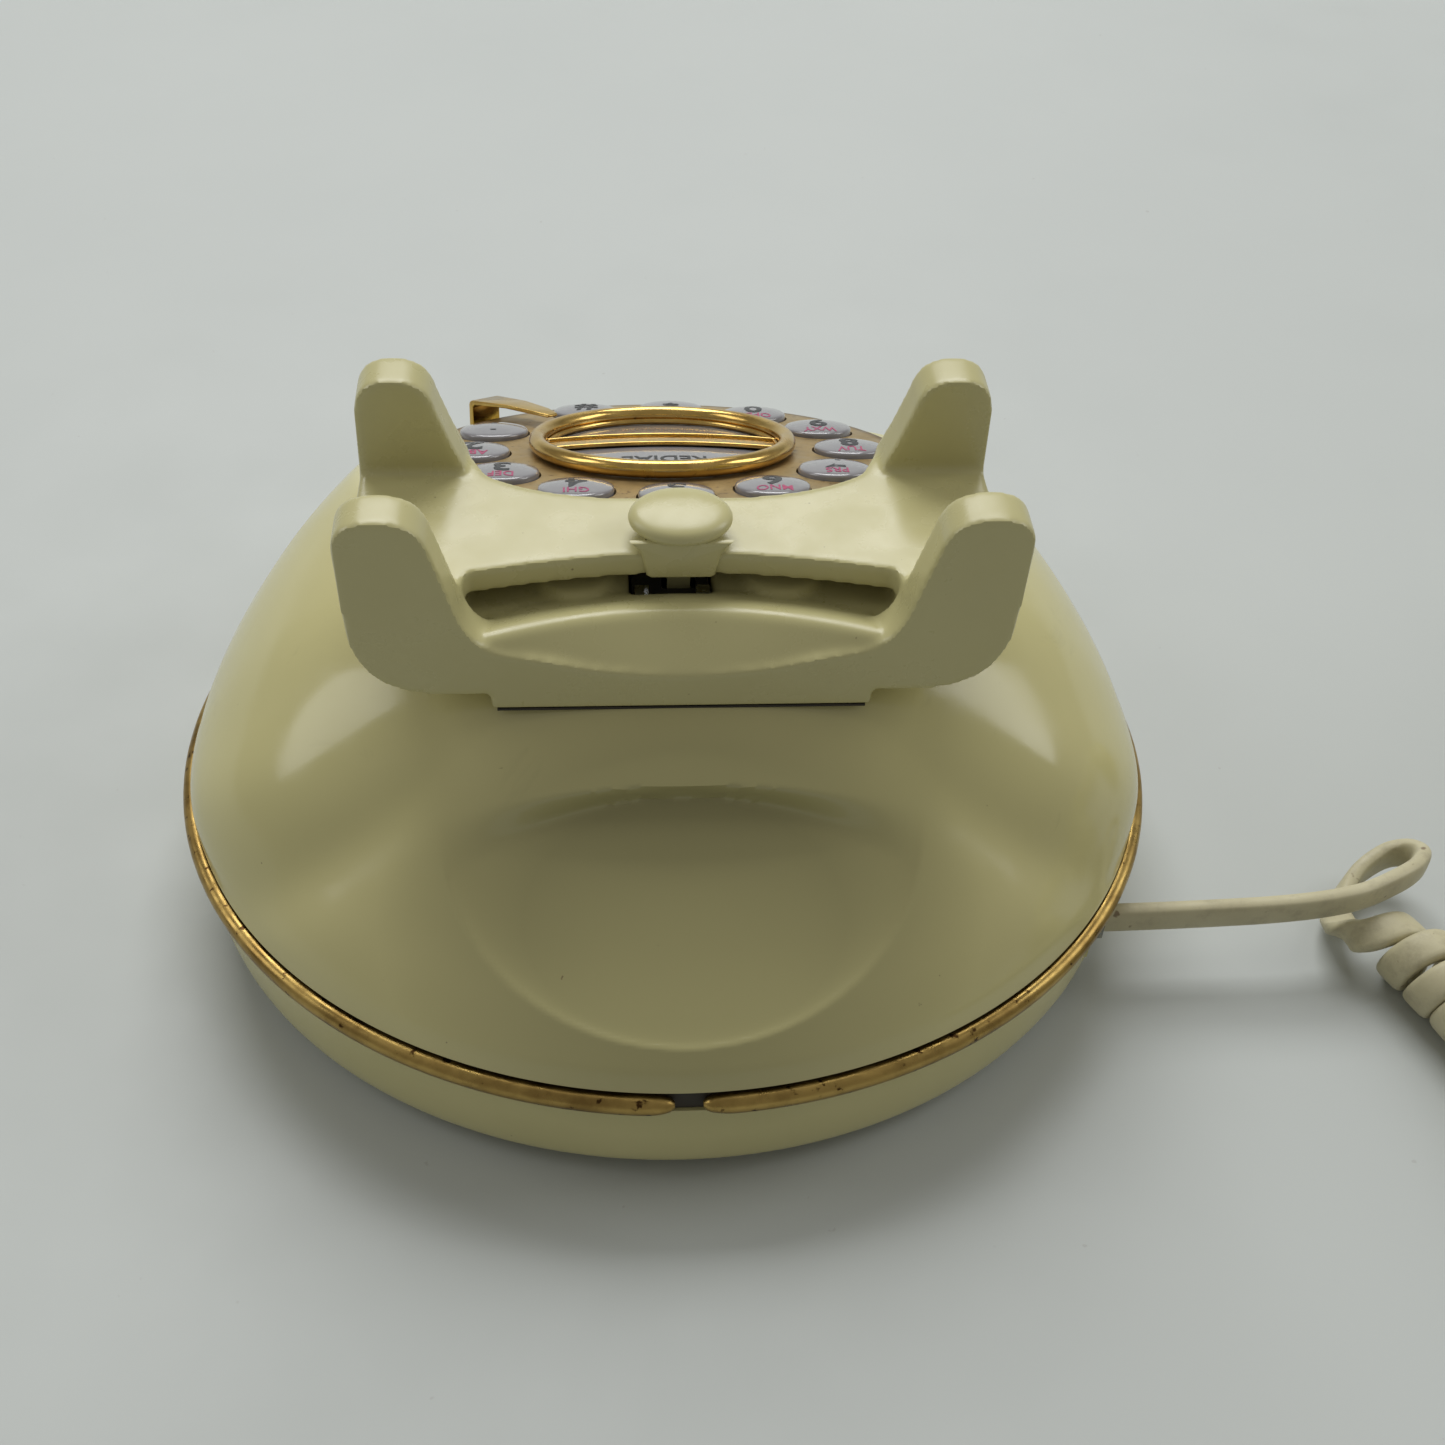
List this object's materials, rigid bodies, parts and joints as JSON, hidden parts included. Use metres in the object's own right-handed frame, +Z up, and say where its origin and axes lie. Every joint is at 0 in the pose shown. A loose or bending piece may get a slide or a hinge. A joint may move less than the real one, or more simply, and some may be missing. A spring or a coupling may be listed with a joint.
{
  "type": "telephone",
  "caption": "Ivory desk telephone: oval base with gold trim, handset cradle with hook plunger, push keys set in a dial plate, and a handset on a curly cord.",
  "frame": {"origin": "middle of the lower housing's flat underside; the feet stand 3 mm lower", "axes": "+Z up, -Y the telephone's front, +X the user's right, cord on the -X side"},
  "size_m": [0.3983, 0.2796, 0.1086],
  "materials": {
    "ivory_shell": "glossy moulded ivory plastic",
    "gold_trim": "polished gold plating, worn in places",
    "dial_gold": "satin gold lacquer",
    "key_caps": "clear-topped white caps with printed characters",
    "cord_cream": "satin PVC",
    "clear_plug": "clear moulded plug",
    "black_plastic": "matte",
    "steel": "zinc plated",
    "grey_rubber": "matte rubber",
    "circuit_board": "solder mask"
  },
  "bodies": {
    "root": {"lower_housing": "ivory_shell", "upper_housing": "ivory_shell", "trim_ring": "gold_trim", "cradle": "ivory_shell", "foot_1": "grey_rubber", "foot_2": "grey_rubber", "foot_3": "grey_rubber", "foot_4": "grey_rubber", "base_screw_1": "steel", "base_screw_2": "steel", "base_screw_3": "steel", "base_screw_4": "steel", "hook_lever_pin": "steel", "hook_switch": "black_plastic", "hook_spring": "steel", "contact_carrier": "black_plastic", "contact_clip_left": "steel", "contact_clip_right": "steel", "dial_plate": "dial_gold", "centre_ring": "gold_trim", "key_membrane": "grey_rubber", "keypad_board": "circuit_board", "finger_stop": "gold_trim", "main_board": "circuit_board", "ballast_weight": "steel", "ringer": "black_plastic", "line_jack": "black_plastic", "cord_jack": "ivory_shell", "base_plug": "clear_plug", "cord_lead": "cord_cream", "cord_coil": "cord_cream", "cord_tail": "cord_cream"},
    "plunger": {"hook_plunger": "ivory_shell"},
    "lever": {"hook_lever": "black_plastic"},
    "redial": {"redial_button": "key_caps"},
    "flash": {"flash_button": "key_caps"},
    "ringer_slider": {"ringer_switch": "black_plastic"},
    "mode_slider": {"dial_mode_switch": "black_plastic"},
    "handset": {"handset_handle": "ivory_shell", "earpiece_cap": "ivory_shell", "mouthpiece_cap": "ivory_shell", "earpiece_ring": "gold_trim", "mouthpiece_ring": "gold_trim", "earpiece_speaker": "black_plastic", "microphone": "black_plastic", "handset_plug": "clear_plug"},
    "key_2_body": {"key_2": "key_caps"},
    "key_3_body": {"key_3": "key_caps"},
    "key_4_body": {"key_4": "key_caps"},
    "key_5_body": {"key_5": "key_caps"},
    "key_6_body": {"key_6": "key_caps"},
    "key_7_body": {"key_7": "key_caps"},
    "key_8_body": {"key_8": "key_caps"},
    "key_9_body": {"key_9": "key_caps"},
    "key_0_body": {"key_0": "key_caps"},
    "key_star_body": {"key_star": "key_caps"},
    "key_hash_body": {"key_hash": "key_caps"},
    "key_1_body": {"key_1": "key_caps"}
  },
  "joints": [
    {"name": "plunger_slide", "type": "slide", "parent": "root", "child": "plunger", "axis": [0, 0, -1], "range_m": [0, 0.0022], "stiffness_N_per_m": 300, "springref_m": -0.003, "deforming": ["hook_spring"]},
    {"name": "lever_rock", "type": "hinge", "parent": "root", "child": "lever", "pos_m": [0, -0.008, 0.049], "axis": [-1, 0, 0], "range_deg": [-0.1, 6]},
    {"name": "key_2_press", "type": "slide", "parent": "root", "child": "key_2_body", "axis": [0, 0.3843, -0.9232], "range_m": [0, 0.0014], "stiffness_N_per_m": 600, "springref_m": -0.0004},
    {"name": "key_3_press", "type": "slide", "parent": "root", "child": "key_3_body", "axis": [0, 0.3843, -0.9232], "range_m": [0, 0.0014], "stiffness_N_per_m": 600, "springref_m": -0.0004},
    {"name": "key_4_press", "type": "slide", "parent": "root", "child": "key_4_body", "axis": [0, 0.3843, -0.9232], "range_m": [0, 0.0014], "stiffness_N_per_m": 600, "springref_m": -0.0004},
    {"name": "key_5_press", "type": "slide", "parent": "root", "child": "key_5_body", "axis": [0, 0.3843, -0.9232], "range_m": [0, 0.0014], "stiffness_N_per_m": 600, "springref_m": -0.0004},
    {"name": "key_6_press", "type": "slide", "parent": "root", "child": "key_6_body", "axis": [0, 0.3843, -0.9232], "range_m": [0, 0.0014], "stiffness_N_per_m": 600, "springref_m": -0.0004},
    {"name": "key_7_press", "type": "slide", "parent": "root", "child": "key_7_body", "axis": [0, 0.3843, -0.9232], "range_m": [0, 0.0014], "stiffness_N_per_m": 600, "springref_m": -0.0004},
    {"name": "key_8_press", "type": "slide", "parent": "root", "child": "key_8_body", "axis": [0, 0.3843, -0.9232], "range_m": [0, 0.0014], "stiffness_N_per_m": 600, "springref_m": -0.0004},
    {"name": "key_9_press", "type": "slide", "parent": "root", "child": "key_9_body", "axis": [0, 0.3843, -0.9232], "range_m": [0, 0.0014], "stiffness_N_per_m": 600, "springref_m": -0.0004},
    {"name": "key_0_press", "type": "slide", "parent": "root", "child": "key_0_body", "axis": [0, 0.3843, -0.9232], "range_m": [0, 0.0014], "stiffness_N_per_m": 600, "springref_m": -0.0004},
    {"name": "key_star_press", "type": "slide", "parent": "root", "child": "key_star_body", "axis": [0, 0.3843, -0.9232], "range_m": [0, 0.0014], "stiffness_N_per_m": 600, "springref_m": -0.0004},
    {"name": "key_hash_press", "type": "slide", "parent": "root", "child": "key_hash_body", "axis": [0, 0.3843, -0.9232], "range_m": [0, 0.0014], "stiffness_N_per_m": 600, "springref_m": -0.0004},
    {"name": "key_1_press", "type": "slide", "parent": "root", "child": "key_1_body", "axis": [0, 0.3843, -0.9232], "range_m": [0, 0.0014], "stiffness_N_per_m": 600, "springref_m": -0.0004},
    {"name": "redial_press", "type": "slide", "parent": "root", "child": "redial", "axis": [0, 0.3843, -0.9232], "range_m": [0, 0.0012], "stiffness_N_per_m": 600, "springref_m": -0.0004},
    {"name": "flash_press", "type": "slide", "parent": "root", "child": "flash", "axis": [0, 0.3843, -0.9232], "range_m": [0, 0.0012], "stiffness_N_per_m": 600, "springref_m": -0.0004},
    {"name": "ringer_slide", "type": "slide", "parent": "root", "child": "ringer_slider", "axis": [1, 0, 0], "range_m": [0, 0.0014]},
    {"name": "mode_slide", "type": "slide", "parent": "root", "child": "mode_slider", "axis": [1, 0, 0], "range_m": [0, 0.0014]},
    {"name": "handset_lift", "type": "slide", "parent": "root", "child": "handset", "axis": [0, 0, 1], "range_m": [0, 0.12]}
  ],
  "couplings": [
    {"joint": "lever_rock", "follows": "plunger_slide", "rad_per_m": 45.455}
  ]
}
